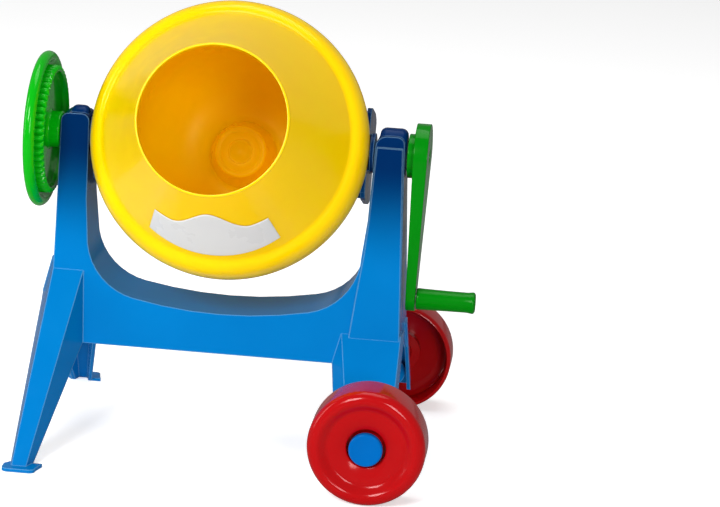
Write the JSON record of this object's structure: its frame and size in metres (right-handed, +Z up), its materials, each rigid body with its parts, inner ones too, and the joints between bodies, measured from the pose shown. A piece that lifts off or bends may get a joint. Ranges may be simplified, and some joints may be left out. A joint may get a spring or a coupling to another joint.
{
  "type": "toy cement mixer",
  "caption": "Toy cement mixer: a geared drum turns with a crank and tilts in a yoke with a hand wheel, on a moulded stand with two road wheels.",
  "frame": {"origin": "on the ground, below the middle of the object's bounding box", "axes": "+Z up; the drum's mouth faces -Y and upward; the crank is on the +X side and the hand wheel on the -X side"},
  "size_m": [0.3059, 0.2436, 0.3045],
  "materials": {
    "blue_plastic": "high gloss",
    "yellow_plastic": "high gloss",
    "orange_plastic": "high gloss",
    "green_plastic": "high gloss",
    "red_plastic": "high gloss",
    "white_plastic": "satin",
    "steel": "plain"
  },
  "bodies": {
    "stand": {"frame": "blue_plastic", "trunnion_bush_left": "white_plastic", "trunnion_bush_right": "white_plastic", "wheel_axle": "steel", "hub_cap_front": "blue_plastic", "hub_cap_rear": "blue_plastic"},
    "yoke": {"yoke": "blue_plastic", "hand_wheel": "green_plastic", "hand_screw": "steel"},
    "drum": {"drum_front": "yellow_plastic", "drum_rear": "orange_plastic", "crown_gear": "yellow_plastic", "drum_badge": "white_plastic", "drum_axle": "white_plastic", "axle_washer": "steel", "axle_screw": "steel"},
    "crank": {"crank_arm": "green_plastic", "crank_shaft": "white_plastic", "crank_pinion": "white_plastic", "crank_screw": "steel", "knob_pin": "steel"},
    "knob": {"crank_knob": "green_plastic"},
    "front_wheel": {"wheel_front": "red_plastic"},
    "rear_wheel": {"wheel_rear": "red_plastic"}
  },
  "joints": [
    {"name": "tilt", "type": "hinge", "parent": "stand", "child": "yoke", "pos_m": [-0.0194, 0, 0.2092], "axis": [1, 0, 0], "range_deg": [-69, 68]},
    {"name": "drum_spin", "type": "hinge", "parent": "yoke", "child": "drum", "pos_m": [-0.0194, 0, 0.2092], "axis": [0, -0.9367, 0.3502], "continuous": true},
    {"name": "crank_turn", "type": "hinge", "parent": "yoke", "child": "crank", "pos_m": [0.1, 0, 0.2092], "axis": [1, 0, 0], "continuous": true},
    {"name": "knob_spin", "type": "hinge", "parent": "crank", "child": "knob", "pos_m": [0.13, -0.00765, 0.112], "axis": [1, 0, 0], "continuous": true},
    {"name": "front_wheel_roll", "type": "hinge", "parent": "stand", "child": "front_wheel", "pos_m": [0.0936, -0.1064, 0.039], "axis": [0, 1, 0], "continuous": true},
    {"name": "rear_wheel_roll", "type": "hinge", "parent": "stand", "child": "rear_wheel", "pos_m": [0.0936, 0.1064, 0.039], "axis": [0, 1, 0], "continuous": true}
  ],
  "couplings": [
    {"joint": "crank_turn", "follows": "drum_spin", "ratio": -9.5}
  ]
}
